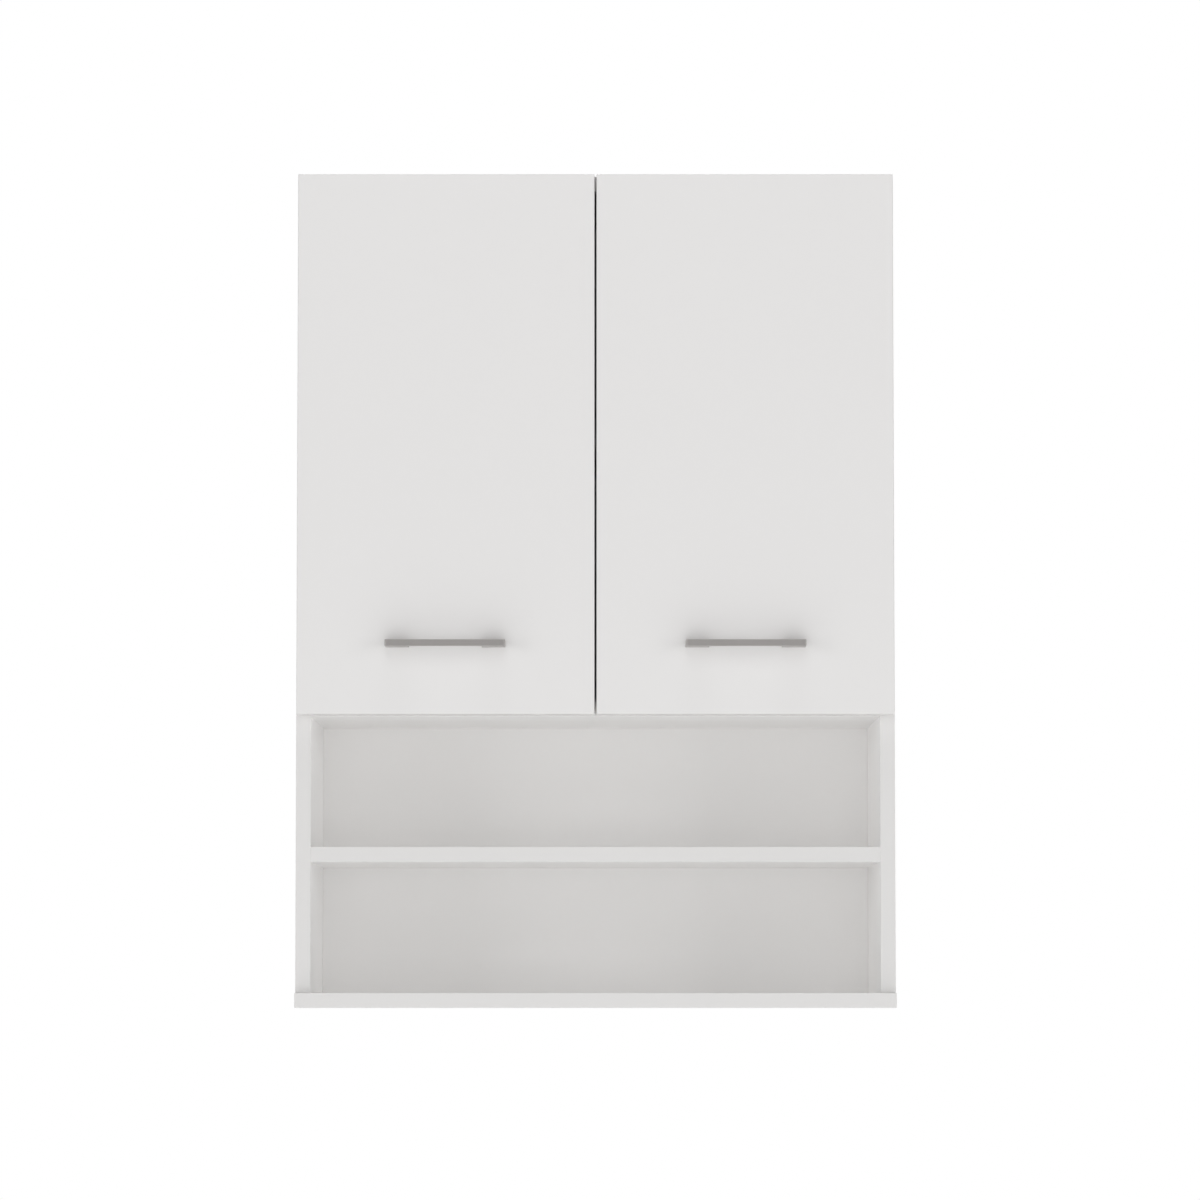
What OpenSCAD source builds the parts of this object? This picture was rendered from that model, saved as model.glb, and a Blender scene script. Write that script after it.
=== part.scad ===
// Hanging wall cabinet with two slab doors above an open niche.
// Millimetres. The wall is the plane Y = 0, the room is towards -Y, Z = 0 is the
// underside of the bottom panel and X = 0 is the middle of the cabinet.

/* [Overall] */
// Width across the side panels
cabinet_width = 600; // [450:1:900]
// Height from the underside of the bottom panel to the top
cabinet_height = 837; // [700:1:1100]
// Depth from the wall to the door faces
cabinet_depth = 280; // [230:1:400]

/* [Boards] */
// Thickness of the carcass boards
board_thickness = 15; // [12.5:0.5:19]
// Thickness of the back panel
back_thickness = 3; // [2.5:0.1:4]
// Space between the back panel and the wall
back_inset = 11; // [9:0.5:20]
// How far the back panel enters its grooves
groove_depth = 5.5; // [3:0.5:6]
// Play around the back panel in its grooves
groove_play = 0.2; // [0.1:0.1:0.5]
// Thickness of the plastic edge bands
band_thickness = 0.8; // [0.4:0.1:2]

/* [Niche] */
// Clear height of each of the two open niches
niche_height = 131; // [90:1:200]

/* [Inner shelf] */
// Clear height below the inner shelf
shelf_rise = 254; // [180:1:320]
// Setback of the inner shelf from the carcass front
shelf_setback = 20; // [5:1:60]
// Side play of the inner shelf
shelf_play = 1; // [0.5:0.1:2]
// Space between the inner shelf and the back panel
shelf_back_play = 2; // [1:0.5:10]
// Distance between shelf holes
shelf_hole_pitch = 32; // [16:1:40]
// Distance of the shelf holes from the front and from the back panel
shelf_hole_inset = 50; // [40:1:80]
// Radius of a shelf pin
shelf_pin_radius = 2.5; // [2:0.25:3]
// Depth of a shelf pin in the side panel
shelf_pin_depth = 9; // [6:0.5:11]
// How far a shelf pin stands out of the side panel
shelf_pin_reach = 9; // [6:0.5:14]
// Play between the shelf pins and the shelf
shelf_pin_play = 0.3; // [0.3:0.05:0.5]

/* [Doors] */
// Thickness of a door
door_thickness = 15; // [12.5:0.5:19]
// Space between a door and the carcass front
door_gap = 2; // [2:0.1:3]
// Space between the two doors
door_split = 2; // [1.5:0.1:4]
// Setback of a door from the outer face of its side panel
door_reveal = 1; // [1:0.1:1.5]
// Height of the door edge above the underside of the cabinet floor
door_lift = 1; // [0:0.5:3]
// Radius of a door bumper
bumper_radius = 4; // [3:0.5:5]
// Play between a door bumper and the carcass
bumper_play = 0.4; // [0.3:0.05:0.6]
// Distance of a door bumper from the free edge of the door
bumper_inset = 14; // [8:1:30]

/* [Handles] */
// Length of a handle
handle_length = 120; // [110:1:160]
// Distance between the two screws of a handle
handle_spacing = 96; // [80:1:128]
// Height of the handle bar
handle_height = 6.4; // [5:0.1:9]
// How far a handle stands out from the door
handle_projection = 28; // [20:1:36]
// Depth of the handle bar
handle_bar_depth = 8; // [6:0.5:12]
// Width of a handle foot
handle_foot = 23.5; // [16:0.5:30]
// Radius inside the corners of a handle
handle_inner_radius = 4; // [2:0.5:6]
// Radius outside the corners of a handle
handle_outer_radius = 1.5; // [0.5:0.5:3]
// Height of a handle above the lower door edge
handle_rise = 70; // [40:1:120]
// Radius of a handle screw
handle_screw_radius = 2; // [1.5:0.25:2.5]
// Depth of a handle screw in the handle
handle_screw_depth = 12; // [8:0.5:16]
// Radius of a handle screw head
handle_head_radius = 4.2; // [3:0.1:6]
// Height of a handle screw head
handle_head_height = 2.2; // [1.5:0.1:3]

/* [Hinge cups] */
// Distance of a hinge from the upper and lower door edge
hinge_inset = 95; // [80:1:120]
// Radius of a hinge cup
cup_radius = 17.5; // [17:0.5:18]
// Wall of a hinge cup
cup_wall = 0.5; // [0.4:0.1:0.8]
// Door left in front of a hinge cup
cup_floor = 3; // [2:0.5:4]
// Distance of a hinge cup from the door edge
cup_edge = 3; // [3:0.5:4]
// Distance of the hinge pin from the door edge
pin_edge = 5.8; // [5.5:0.1:6]
// Height of the hinge pin above the bottom of the cup
pin_rise = 2.7; // [2.6:0.1:3]
// Radius of a hinge pin
pin_radius = 0.8; // [0.7:0.05:1]
// Radial play of the hinge pin in the arm
pin_play = 0.05; // [0.02:0.01:0.1]
// Radial play of the hinge pin in the cheeks that hold it
pin_fit = 0.01; // [0.01:0.01:0.05]
// Half length of a hinge pin
pin_half = 6.8; // [6.5:0.1:6.9]
// Reach of the pin cheeks towards the door edge
cheek_outer = 1.2; // [1:0.1:1.4]
// Reach of the pin cheeks towards the middle of the cup
cheek_inner = 2.2; // [1.5:0.1:3]
// Height of the pin cheeks above the bottom of the cup
cheek_height = 4.5; // [4:0.1:5]
// Play between the pin cheeks and the nose of the arm
cheek_play = 0.6; // [0.4:0.1:0.8]
// Thickness of the cup flange
flange_thickness = 1.2; // [0.8:0.1:1.4]
// Half length of the cup flange
flange_half = 28; // [26:0.5:30]
// Half width of the cup flange
flange_width = 8; // [6:0.5:9]
// Offset of the flange screws from the middle of the cup
flange_offset = 9.5; // [6:0.5:9.5]
// Half distance between the flange screws
flange_spacing = 22.5; // [22:0.5:26]
// Radius of the flange screws
flange_screw_radius = 1.7; // [1.5:0.1:2]
// Depth of the flange screws in the door
flange_screw_depth = 10; // [8:0.5:11]
// Radius of the flange screw heads
flange_head_radius = 3.4; // [3:0.1:4]

/* [Hinge arms] */
// Setback of the hinge plate screws from the carcass front
plate_setback = 37; // [37:1:40]
// Half distance between the hinge plate screws
plate_spacing = 16; // [14:1:18]
// Thickness of a hinge plate
plate_thickness = 2; // [1.5:0.1:3]
// Half width of a hinge plate
plate_half_width = 10; // [8:0.5:14]
// Half length of a hinge plate
plate_half_length = 24; // [21:0.5:28]
// Height of the rib that carries the arm
rib_height = 6; // [5:0.1:7]
// Half width of the rib
rib_half = 6.4; // [5:0.1:7]
// Half length of the rib
rib_length = 21; // [18:0.5:24]
// Thickness of the arm
arm_thickness = 1.6; // [1.2:0.1:2]
// Half width of the arm
arm_half = 8; // [7.5:0.1:9]
// Half width of the neck of the arm
neck_half = 6.5; // [5:0.1:7]
// Half width of the nose of the arm
nose_half = 4; // [3:0.1:4.2]
// Reach from the hinge pin to the neck of the arm
neck_reach = 10.8; // [10.6:0.1:11]
// Thickness of the neck of the arm
neck_thickness = 3; // [2:0.1:3.5]
// Least space between the neck and the side panel
neck_clearance = 2.4; // [1:0.1:3]
// Thickness of the leg that runs from the neck to the pin
leg_thickness = 2.2; // [1.8:0.1:2.4]
// Radius of the nose of the arm
nose_radius = 1.5; // [1.4:0.05:1.6]
// Radius of the hinge plate screws
plate_screw_radius = 1.6; // [1.5:0.1:2]
// Depth of the hinge plate screws in the side panel
plate_screw_depth = 10; // [8:0.5:11]
// Radius of the screw heads on plates and arms
plate_head_radius = 3.4; // [3:0.1:4]
// Height of the screw heads on plates and arms
plate_head_height = 1.6; // [1:0.1:2]
// Distance of the adjusting screws from the plate screws
adjust_offset = 14; // [10:0.5:18]
// Depth of the adjusting screws in the rib
adjust_depth = 2; // [1:0.5:3]
// Radius of the adjusting screws
adjust_radius = 2; // [1.5:0.1:2.5]

/* [Joints in the boards] */
// Radius of a cam lock
cam_radius = 7.5; // [6:0.5:8]
// Board left behind a cam lock
cam_floor = 2.4; // [2:0.1:4]
// Distance of a cam lock from the side panel
cam_inset = 24; // [24:1:34]
// Distance of the cam locks from the carcass front and from the wall
cam_setback = 40; // [36:1:60]
// Extra distance of the rear cam locks from the wall, clear of the hangers
cam_hanger_space = 10; // [10:1:20]
// Radius of the shaft of a cam bolt
cam_bolt_radius = 2.6; // [2:0.1:3]
// Radius of the thread of a cam bolt
cam_thread_radius = 3; // [2.5:0.1:3.5]
// Depth of the thread of a cam bolt in the side panel
cam_thread_depth = 10; // [8:0.5:11]
// Play around the shaft of a cam bolt
cam_bolt_play = 0.8; // [0.3:0.1:1]
// Play around the head of a cam bolt in its cam lock
cam_head_play = 0.2; // [0.1:0.1:0.4]
// Radius of a cam cover cap
cap_radius = 8.5; // [8:0.5:10]
// Thickness of a cover cap
cap_thickness = 0.6; // [0.4:0.1:1]
// Radius of a wooden dowel
dowel_radius = 4; // [3:0.5:4]
// Depth of a dowel in a side panel
dowel_short = 10; // [8:0.5:11]
// Depth of a dowel in the end of a board
dowel_long = 20; // [15:1:30]
// Distance of a dowel from its cam lock
dowel_offset = 35; // [25:1:50]
// Radius of a bottom screw
bottom_screw_radius = 2.5; // [2:0.1:3]
// Length of a bottom screw
bottom_screw_length = 50; // [40:1:60]
// Radius of the head of a bottom screw
bottom_head_radius = 4.8; // [4:0.1:5]
// Height of the head of a bottom screw
bottom_head_height = 2.5; // [2:0.1:4]
// Thickness of the cap that covers a bottom screw
plug_thickness = 1.2; // [1:0.1:2]
// Radius of a back panel screw
back_screw_radius = 1.5; // [1.2:0.1:2]
// Depth of a back panel screw in a board
back_screw_depth = 16; // [12:1:20]
// Radius of the head of a back panel screw
back_head_radius = 3.2; // [2.5:0.1:4]
// Height of the head of a back panel screw
back_head_height = 1.4; // [1:0.1:2]
// Distance of the outer back panel screws from the side panels
back_screw_inset = 60; // [30:1:100]

/* [Hangers] */
// Width of a hanger
hanger_width = 30; // [26:1:36]
// Height of a hanger
hanger_height = 54; // [48:1:64]
// Depth of a hanger
hanger_depth = 24; // [20:1:26]
// Space between a hanger and the top panel
hanger_drop = 5; // [3:0.5:12]
// Width of a hanger hook
hook_width = 14; // [10:0.5:16]
// Thickness of a hanger hook
hook_thickness = 2.5; // [2:0.1:3]
// Distance of a hanger hook below the top of its hanger
hook_drop = 8.5; // [7:0.5:12]
// Play around a hanger hook in the back panel
hook_play = 5; // [2:0.5:6]
// Length of the turned-down tab of a hanger hook
hook_tab = 5; // [4:0.5:6]
// Thickness of the turned-down tab of a hanger hook
hook_tab_thickness = 2; // [1.5:0.1:2.2]
// Play between the tab of a hanger hook and the wall plate
hook_tab_play = 0.2; // [0.1:0.1:0.4]
// Length of a hanger hook inside its hanger
hook_inner = 18; // [12:0.5:20]
// Width of a wall plate
wall_plate_width = 50; // [44:1:60]
// Height of a wall plate
wall_plate_height = 36; // [30:1:44]
// Thickness of a wall plate
wall_plate_thickness = 2; // [1.5:0.1:2.5]
// Depth of the ledge of a wall plate
wall_plate_ledge = 6; // [5.5:0.1:8]
// Thickness of the lip of a wall plate
wall_plate_lip_thickness = 1.5; // [1:0.1:1.5]
// Height of the lip of a wall plate
wall_plate_lip = 6; // [5.5:0.1:8]
// Half distance between the holes of a wall plate
wall_hole_spacing = 12; // [10:0.5:14]
// Radius of the holes of a wall plate
wall_hole_radius = 2.75; // [2:0.05:3.5]
// Distance of the upper hanger screw below the hook
hanger_screw_drop = 18; // [14:1:20]
// Distance between the two screws of a hanger
hanger_screw_spacing = 16; // [12:1:18]
// Radius of a hanger screw
hanger_screw_radius = 2; // [1.5:0.1:2.5]
// Depth of a hanger screw in the side panel
hanger_screw_depth = 10; // [8:0.5:11]
// Radius of a hanger screw head
hanger_head_radius = 4; // [3:0.1:5]
// Height of a hanger screw head
hanger_head_height = 2; // [1:0.1:3]

/* [Hidden] */
$fn = 48;
cut = 1;
half_w = cabinet_width / 2;
inner_x = half_w - board_thickness;
front_y = -(cabinet_depth - door_thickness - door_gap);
board_y = front_y + band_thickness;
back_y = -(back_inset + back_thickness);
shelf_z = board_thickness + niche_height;
floor_z = shelf_z + board_thickness + niche_height;
inside_z = floor_z + board_thickness;
top_z = cabinet_height - board_thickness;
inner_shelf_z = inside_z + shelf_rise;
side_mid = half_w - board_thickness / 2;

door_x0 = -half_w + door_reveal;
door_x1 = -door_split / 2;
door_z0 = floor_z + door_lift;
door_back_y = front_y - door_gap;
door_mid_x = (door_x0 + door_x1) / 2;
handle_z = door_z0 + handle_rise;

hinge_zs = [door_z0 + hinge_inset, cabinet_height - hinge_inset];
cup_depth = door_thickness - cup_floor;
cup_x = door_x0 + cup_edge + cup_radius;
cup_y = door_back_y - cup_depth;
pin_x = door_x0 + pin_edge;
pin_y = cup_y + pin_rise;
cheek_z0 = nose_half + cheek_play;
bore_radius = pin_radius + pin_play;

neck_x0 = max(pin_x + neck_reach, -inner_x + neck_clearance);
neck_x1 = neck_x0 + neck_thickness;
leg_y1 = pin_y + 0.4;
leg_y0 = leg_y1 - leg_thickness;
rib_x = -inner_x + rib_height;
arm_x = rib_x + arm_thickness;
plate_y = front_y + plate_setback;
arm_back_y = plate_y + rib_length + 2;
bend_y0 = front_y + 3;
bend_y1 = front_y + 8;

cam_ys = [board_y + cam_setback, -cam_setback - cam_hanger_space];
cam_x = inner_x - cam_inset;
cam_depth = board_thickness - cam_floor;
dowel_ys = [cam_ys[0] + dowel_offset, cam_ys[1] - dowel_offset];
bottom_screw_ys = [board_y + cam_setback, -cam_setback];
// Underside of each board that runs between the sides, and whether its cam locks
// open upwards (1) or downwards (0)
boards = [[shelf_z, 1], [floor_z, 1], [top_z, 0]];
back_screw_xs = [-inner_x + back_screw_inset, 0, inner_x - back_screw_inset];
pin_ys = [front_y + shelf_hole_inset, back_y - shelf_hole_inset];

hanger_top = top_z - hanger_drop;
hanger_y0 = back_y - hanger_depth;
hanger_x = inner_x - hanger_width;
hanger_mid = inner_x - hanger_width / 2;
hook_z = hanger_top - hook_drop - hook_thickness;
ledge_z = hook_z - wall_plate_lip;
wall_plate_x = inner_x - 1 - wall_plate_width;
wall_plate_mid = inner_x - 1 - wall_plate_width / 2;
wall_hole_z = ledge_z - wall_plate_height / 2;
hanger_screw_zs = [hook_z - hanger_screw_drop - hanger_screw_spacing, hook_z - hanger_screw_drop];
hanger_screw_y = back_y - hanger_depth / 2;

white = [0.90, 0.89, 0.88];
edge_white = [0.91, 0.90, 0.89];
cap_white = [0.93, 0.93, 0.92];
steel = [0.62, 0.62, 0.63];
zinc = [0.72, 0.72, 0.74];
nickel = [0.60, 0.58, 0.57];
beech = [0.80, 0.64, 0.44];
plastic = [0.80, 0.80, 0.79];
clear = [0.85, 0.86, 0.86];

module box(x0, x1, y0, y1, z0, z1) {
    translate([x0, y0, z0]) cube([x1 - x0, y1 - y0, z1 - z0]);
}

module rod_x(x0, x1, y, z, r) {
    translate([x0, y, z]) rotate([0, 90, 0]) cylinder(h = x1 - x0, r = r);
}

module rod_y(x, y0, y1, z, r) {
    translate([x, y1, z]) rotate([90, 0, 0]) cylinder(h = y1 - y0, r = r);
}

module rod_z(x, y, z0, z1, r) {
    translate([x, y, z0]) cylinder(h = z1 - z0, r = r);
}

module both() {
    children();
    mirror([1, 0, 0]) children();
}

// Groove for the back panel, running round the inside of the carcass
module back_groove() {
    box(-inner_x - groove_depth - groove_play, inner_x + groove_depth + groove_play,
        back_y - groove_play, -back_inset + groove_play,
        board_thickness - groove_depth - groove_play,
        top_z + groove_depth + groove_play);
}

// Carcass

module side_board() {
    difference() {
        box(-half_w, -inner_x, board_y, 0, board_thickness, cabinet_height);
        back_groove();
        for (b = boards) {
            mid = b[0] + board_thickness / 2;
            for (y = cam_ys)
                rod_x(-inner_x - cam_thread_depth, -inner_x + cut, y, mid, cam_thread_radius);
            for (y = dowel_ys)
                rod_x(-inner_x - dowel_short, -inner_x + cut, y, mid, dowel_radius);
        }
        for (y = dowel_ys)
            rod_z(-side_mid, y, board_thickness - cut, board_thickness + dowel_long, dowel_radius);
        for (y = bottom_screw_ys)
            rod_z(-side_mid, y, board_thickness - cut,
                plug_thickness + bottom_screw_length, bottom_screw_radius);
        for (z = hinge_zs, s = [-1, 1])
            rod_x(-inner_x - plate_screw_depth, -inner_x + cut, plate_y,
                z + s * plate_spacing, plate_screw_radius);
        for (y = pin_ys, n = [-1, 0, 1])
            rod_x(-inner_x - shelf_pin_depth, -inner_x + cut, y,
                inner_shelf_z - shelf_pin_play - shelf_pin_radius + n * shelf_hole_pitch,
                shelf_pin_radius);
        for (z = hanger_screw_zs)
            rod_x(-inner_x - hanger_screw_depth, -inner_x + cut, hanger_screw_y, z,
                hanger_screw_radius);
    }
}

module side_panel_left() {
    color(white) side_board();
}

module side_panel_right() {
    color(white) mirror([1, 0, 0]) side_board();
}

// Board between the side panels, with its cam lock pockets, bolt holes and dowel holes
module cross_board(z0, up, y1) {
    mid = z0 + board_thickness / 2;
    pocket_z0 = up == 1 ? z0 + cam_floor : z0 - cut;
    pocket_z1 = up == 1 ? z0 + board_thickness + cut : z0 + cam_depth;
    difference() {
        box(-inner_x, inner_x, board_y, y1, z0, z0 + board_thickness);
        both() {
            for (y = cam_ys) {
                rod_z(-cam_x, y, pocket_z0, pocket_z1, cam_radius);
                rod_x(-inner_x - cut, -cam_x, y, mid, cam_bolt_radius + cam_bolt_play);
            }
            for (y = dowel_ys)
                rod_x(-inner_x - cut, -inner_x + dowel_long, y, mid, dowel_radius);
        }
    }
}

module top_panel() {
    color(white) difference() {
        cross_board(top_z, 0, 0);
        back_groove();
    }
}

module cabinet_floor() {
    color(white) difference() {
        cross_board(floor_z, 1, back_y);
        back_screw_holes(floor_z);
    }
}

module niche_shelf() {
    color(white) difference() {
        cross_board(shelf_z, 1, back_y);
        back_screw_holes(shelf_z);
    }
}

module back_screw_holes(z0) {
    for (x = back_screw_xs)
        rod_y(x, back_y - back_screw_depth, back_y + cut, z0 + board_thickness / 2,
            back_screw_radius);
}

module bottom_panel() {
    color(white) difference() {
        box(-half_w + band_thickness, half_w - band_thickness,
            -cabinet_depth + band_thickness, 0, 0, board_thickness);
        back_groove();
        both() {
            for (y = dowel_ys)
                rod_z(-side_mid, y, board_thickness - dowel_short, board_thickness + cut,
                    dowel_radius);
            for (y = bottom_screw_ys) {
                rod_z(-side_mid, y, -cut, board_thickness + cut, bottom_screw_radius);
                rod_z(-side_mid, y, -cut, plug_thickness + bottom_head_height,
                    bottom_head_radius);
            }
        }
    }
}

module back_panel() {
    color(edge_white) difference() {
        box(-inner_x - groove_depth, inner_x + groove_depth, back_y, -back_inset,
            board_thickness - groove_depth, top_z + groove_depth);
        for (z = [shelf_z, floor_z], x = back_screw_xs)
            rod_y(x, back_y - cut, -back_inset + cut, z + board_thickness / 2,
                back_screw_radius);
        both() box(-hanger_mid - hook_width / 2 - 1, -hanger_mid + hook_width / 2 + 1,
            back_y - cut, -back_inset + cut, hook_z - hook_play,
            hook_z + hook_thickness + hook_play);
    }
}

// Edge bands

module edge_band_side_left() {
    color(edge_white) box(-half_w, -inner_x, front_y, board_y, board_thickness,
        cabinet_height);
}

module edge_band_side_right() {
    color(edge_white) box(inner_x, half_w, front_y, board_y, board_thickness,
        cabinet_height);
}

module edge_band_top() {
    color(edge_white) box(-inner_x, inner_x, front_y, board_y, top_z, cabinet_height);
}

module edge_band_floor() {
    color(edge_white) box(-inner_x, inner_x, front_y, board_y, floor_z, inside_z);
}

module edge_band_niche_shelf() {
    color(edge_white) box(-inner_x, inner_x, front_y, board_y, shelf_z,
        shelf_z + board_thickness);
}

module edge_band_bottom() {
    color(edge_white) difference() {
        box(-half_w, half_w, -cabinet_depth, 0, 0, board_thickness);
        box(-half_w + band_thickness, half_w - band_thickness,
            -cabinet_depth + band_thickness, cut, -cut, board_thickness + cut);
    }
}

// Fittings in the boards

module cam_locks() {
    color(zinc) both() for (b = boards, y = cam_ys) {
        z0 = b[1] == 1 ? b[0] + cam_floor : b[0];
        difference() {
            rod_z(-cam_x, y, z0, z0 + cam_depth, cam_radius);
            rod_x(-cam_x - cam_radius - cut, -cam_x + cam_thread_radius * 2, y,
                b[0] + board_thickness / 2, cam_thread_radius + cam_head_play);
        }
    }
}

module cam_bolts() {
    color(steel) both() for (b = boards, y = cam_ys) {
        mid = b[0] + board_thickness / 2;
        rod_x(-inner_x - cam_thread_depth, -inner_x, y, mid, cam_thread_radius);
        rod_x(-inner_x, -cam_x + 1, y, mid, cam_bolt_radius);
        rod_x(-cam_x, -cam_x + cam_thread_radius, y, mid, cam_thread_radius);
    }
}

module cam_cover_caps() {
    color(cap_white) both() for (b = boards, y = cam_ys) {
        z0 = b[1] == 1 ? b[0] + board_thickness : b[0] - cap_thickness;
        rod_z(-cam_x, y, z0, z0 + cap_thickness, cap_radius);
    }
}

module wooden_dowels() {
    color(beech) both() for (y = dowel_ys) {
        for (b = boards)
            rod_x(-inner_x - dowel_short, -inner_x + dowel_long, y,
                b[0] + board_thickness / 2, dowel_radius);
        rod_z(-side_mid, y, board_thickness - dowel_short, board_thickness + dowel_long,
            dowel_radius);
    }
}

module bottom_screws() {
    color(steel) both() for (y = bottom_screw_ys) {
        rod_z(-side_mid, y, plug_thickness, plug_thickness + bottom_head_height,
            bottom_head_radius);
        rod_z(-side_mid, y, plug_thickness, plug_thickness + bottom_screw_length,
            bottom_screw_radius);
    }
}

module bottom_screw_caps() {
    color(cap_white) both() for (y = bottom_screw_ys)
        rod_z(-side_mid, y, 0, plug_thickness, bottom_head_radius);
}

module back_panel_screws() {
    color(steel) for (z = [shelf_z, floor_z], x = back_screw_xs) {
        rod_y(x, back_y - back_screw_depth, -back_inset, z + board_thickness / 2,
            back_screw_radius);
        rod_y(x, -back_inset, -back_inset + back_head_height, z + board_thickness / 2,
            back_head_radius);
    }
}

module shelf_pins() {
    color(zinc) both() for (y = pin_ys)
        rod_x(-inner_x - shelf_pin_depth, -inner_x + shelf_pin_reach, y,
            inner_shelf_z - shelf_pin_play - shelf_pin_radius, shelf_pin_radius);
}

// Hangers

module hanger_body() {
    difference() {
        box(-inner_x, -hanger_x, hanger_y0, back_y, hanger_top - hanger_height, hanger_top);
        box(-hanger_mid - hook_width / 2, -hanger_mid + hook_width / 2,
            back_y - hook_inner, back_y + cut, hook_z, hook_z + hook_thickness);
        for (z = hanger_screw_zs)
            rod_x(-inner_x - cut, -hanger_x + cut, hanger_screw_y, z, hanger_screw_radius);
    }
}

module hanger_left() {
    color(plastic) hanger_body();
}

module hanger_right() {
    color(plastic) mirror([1, 0, 0]) hanger_body();
}

module hook() {
    x0 = -hanger_mid - hook_width / 2;
    x1 = -hanger_mid + hook_width / 2;
    tab_y = -wall_plate_thickness - hook_tab_play;
    box(x0, x1, back_y - hook_inner, tab_y, hook_z, hook_z + hook_thickness);
    box(x0, x1, tab_y - hook_tab_thickness, tab_y, hook_z - hook_tab, hook_z + hook_thickness);
}

module hanger_hook_left() {
    color(steel) hook();
}

module hanger_hook_right() {
    color(steel) mirror([1, 0, 0]) hook();
}

module hanger_screws() {
    color(steel) both() for (z = hanger_screw_zs) {
        rod_x(-inner_x - hanger_screw_depth, -hanger_x, hanger_screw_y, z,
            hanger_screw_radius);
        rod_x(-hanger_x, -hanger_x + hanger_head_height, hanger_screw_y, z,
            hanger_head_radius);
    }
}

module wall_plate() {
    x0 = -wall_plate_x - wall_plate_width;
    x1 = -wall_plate_x;
    difference() {
        union() {
            box(x0, x1, -wall_plate_thickness, 0, ledge_z - wall_plate_height, ledge_z);
            box(x0, x1, -wall_plate_ledge, 0, ledge_z - wall_plate_thickness, ledge_z);
            box(x0, x1, -wall_plate_ledge, -wall_plate_ledge + wall_plate_lip_thickness,
                ledge_z - wall_plate_thickness, ledge_z + wall_plate_lip);
        }
        for (s = [-1, 1])
            rod_y(-wall_plate_mid + s * wall_hole_spacing, -wall_plate_thickness - cut, cut,
                wall_hole_z, wall_hole_radius);
    }
}

module wall_plate_left() {
    color(zinc) wall_plate();
}

module wall_plate_right() {
    color(zinc) mirror([1, 0, 0]) wall_plate();
}

// Hinge halves on the side panels

module plates() {
    for (z = hinge_zs) difference() {
        union() {
            box(-inner_x, -inner_x + plate_thickness, plate_y - plate_half_width,
                plate_y + plate_half_width, z - plate_half_length, z + plate_half_length);
            box(-inner_x, rib_x, plate_y - rib_length, plate_y + rib_length,
                z - rib_half, z + rib_half);
        }
        for (s = [-1, 1]) {
            rod_x(-inner_x - cut, -inner_x + plate_thickness + cut, plate_y,
                z + s * plate_spacing, plate_screw_radius);
            rod_x(rib_x - adjust_depth, rib_x + cut, plate_y + s * adjust_offset, z, adjust_radius);
        }
    }
}

module hinge_plates_left() {
    color(steel) plates();
}

module hinge_plates_right() {
    color(steel) mirror([1, 0, 0]) plates();
}

module hinge_plate_screws() {
    color(zinc) both() for (z = hinge_zs, s = [-1, 1]) {
        rod_x(-inner_x - plate_screw_depth, -inner_x + plate_thickness, plate_y,
            z + s * plate_spacing, plate_screw_radius);
        rod_x(-inner_x + plate_thickness, -inner_x + plate_thickness + plate_head_height,
            plate_y, z + s * plate_spacing, plate_head_radius);
    }
}

// Arm: a channel on the plate, a neck that steps forward and a nose round the pin
module arm(z) {
    difference() {
        union() {
            box(rib_x, arm_x, bend_y1, arm_back_y, z - arm_half, z + arm_half);
            for (s = [-1, 1])
                box(-inner_x + plate_thickness + 0.4, arm_x, bend_y1, arm_back_y,
                    z + s * (arm_half + rib_half + 0.2) / 2 - (arm_half - rib_half - 0.2) / 2,
                    z + s * (arm_half + rib_half + 0.2) / 2 + (arm_half - rib_half - 0.2) / 2);
            translate([0, 0, z - neck_half]) linear_extrude(height = 2 * neck_half)
                polygon([[neck_x0, leg_y0], [neck_x1, leg_y0], [neck_x1, front_y - 1],
                    [arm_x, bend_y0], [arm_x, bend_y1 + cut], [rib_x, bend_y1 + cut],
                    [rib_x, bend_y1], [neck_x0, bend_y0]]);
            translate([0, 0, z - nose_half]) linear_extrude(height = 2 * nose_half)
                polygon([[pin_x, leg_y1], [pin_x, pin_y - nose_radius + 0.2],
                    [pin_x + 2, leg_y0], [neck_x1, leg_y0], [neck_x1, leg_y1]]);
            rod_z(pin_x, pin_y, z - nose_half, z + nose_half, nose_radius);
        }
        rod_z(pin_x, pin_y, z - nose_half - cut, z + nose_half + cut, bore_radius);
        for (s = [-1, 1])
            rod_x(rib_x - cut, arm_x + cut, plate_y + s * adjust_offset, z, adjust_radius);
    }
}

module hinge_arms_left() {
    color(steel) for (z = hinge_zs) arm(z);
}

module hinge_arms_right() {
    color(steel) mirror([1, 0, 0]) for (z = hinge_zs) arm(z);
}

module hinge_adjust_screws() {
    color(zinc) both() for (z = hinge_zs, s = [-1, 1]) {
        rod_x(rib_x - adjust_depth, arm_x, plate_y + s * adjust_offset, z, adjust_radius);
        rod_x(arm_x, arm_x + plate_head_height, plate_y + s * adjust_offset, z,
            plate_head_radius);
    }
}

// Inner shelf

module inner_shelf() {
    color(white) box(-inner_x + shelf_play, inner_x - shelf_play,
        front_y + shelf_setback + band_thickness, back_y - shelf_back_play, inner_shelf_z,
        inner_shelf_z + board_thickness);
}

module edge_band_inner_shelf() {
    color(edge_white) box(-inner_x + shelf_play, inner_x - shelf_play,
        front_y + shelf_setback, front_y + shelf_setback + band_thickness, inner_shelf_z,
        inner_shelf_z + board_thickness);
}

// Doors

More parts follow.
